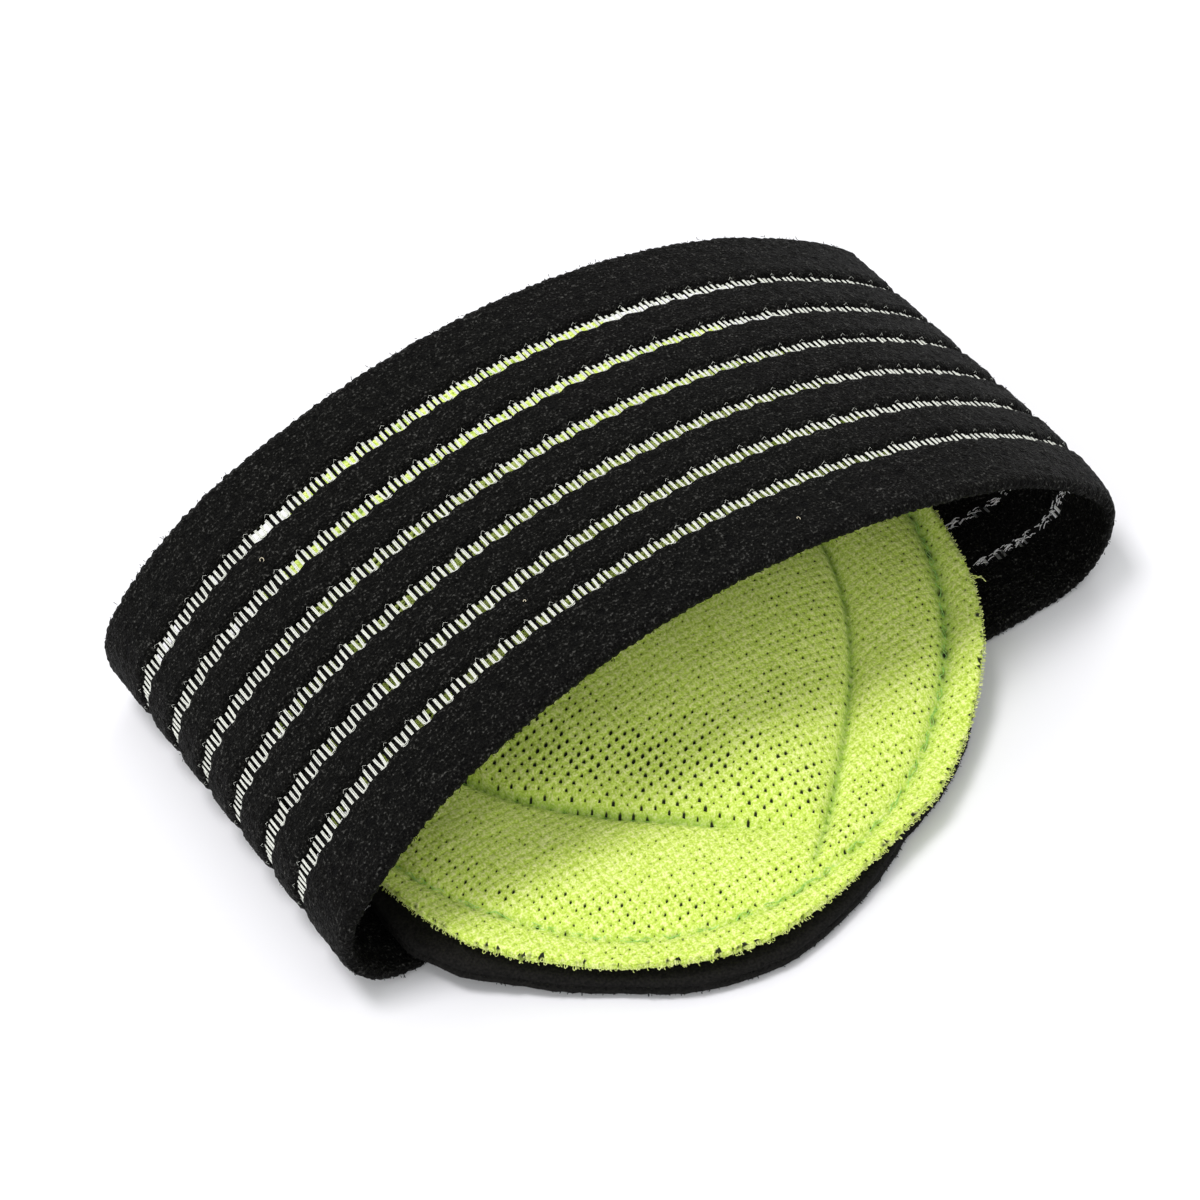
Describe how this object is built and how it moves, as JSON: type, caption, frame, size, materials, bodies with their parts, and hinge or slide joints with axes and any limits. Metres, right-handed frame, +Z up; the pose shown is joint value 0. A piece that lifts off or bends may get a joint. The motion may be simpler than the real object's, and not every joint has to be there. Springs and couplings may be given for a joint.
{
  "type": "arch support sleeve",
  "caption": "Elastic foot sleeve with an oval quilted arch cushion inside, lying flat and open for a foot.",
  "frame": {"origin": "on the floor, under the middle of the loop", "axes": "+X across the foot, from fold to fold of the loop; -Y towards the toes, along the foot; +Z up"},
  "size_m": [0.0968, 0.092, 0.03],
  "materials": {
    "elastic": "matte knitted elastic",
    "mesh": "matte knitted spacer mesh",
    "backing": "matte brushed fleece"
  },
  "bodies": {
    "root": {"elastic_band": "elastic", "cushion_backing": "backing", "cushion_cover": "mesh"}
  },
  "joints": []
}
